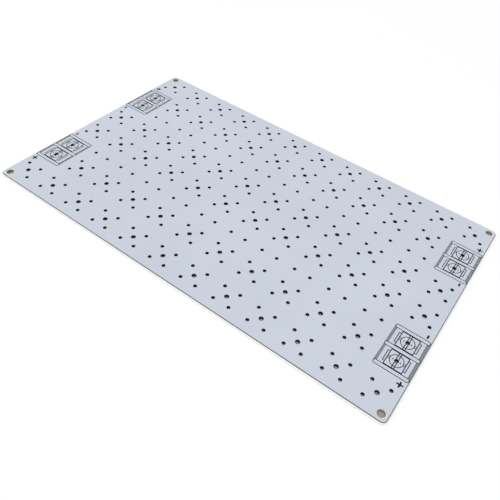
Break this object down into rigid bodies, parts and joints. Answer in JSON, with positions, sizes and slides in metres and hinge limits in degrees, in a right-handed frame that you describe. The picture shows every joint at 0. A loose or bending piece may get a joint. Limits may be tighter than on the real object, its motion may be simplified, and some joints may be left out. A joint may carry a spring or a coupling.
{
  "type": "crossover circuit board",
  "caption": "Bare rectangular circuit board with rounded corners, white mask, a repeating pattern of drilled component holes, corner mounting holes and printed terminal outlines.",
  "frame": {"origin": "middle of the board's underside", "axes": "+X along the long side, +Y along the short side, +Z out of the printed face"},
  "size_m": [0.2, 0.12, 0.0016],
  "materials": {
    "glass_epoxy": "sawn glass-epoxy laminate",
    "white_mask": "satin solder mask",
    "black_ink": "screen-printed ink"
  },
  "bodies": {
    "root": {"laminate": "glass_epoxy", "top_mask": "white_mask", "bottom_mask": "white_mask", "terminal_print_left_front": "black_ink", "terminal_print_left_rear": "black_ink", "terminal_print_right_front": "black_ink", "terminal_print_right_rear": "black_ink"}
  },
  "joints": []
}
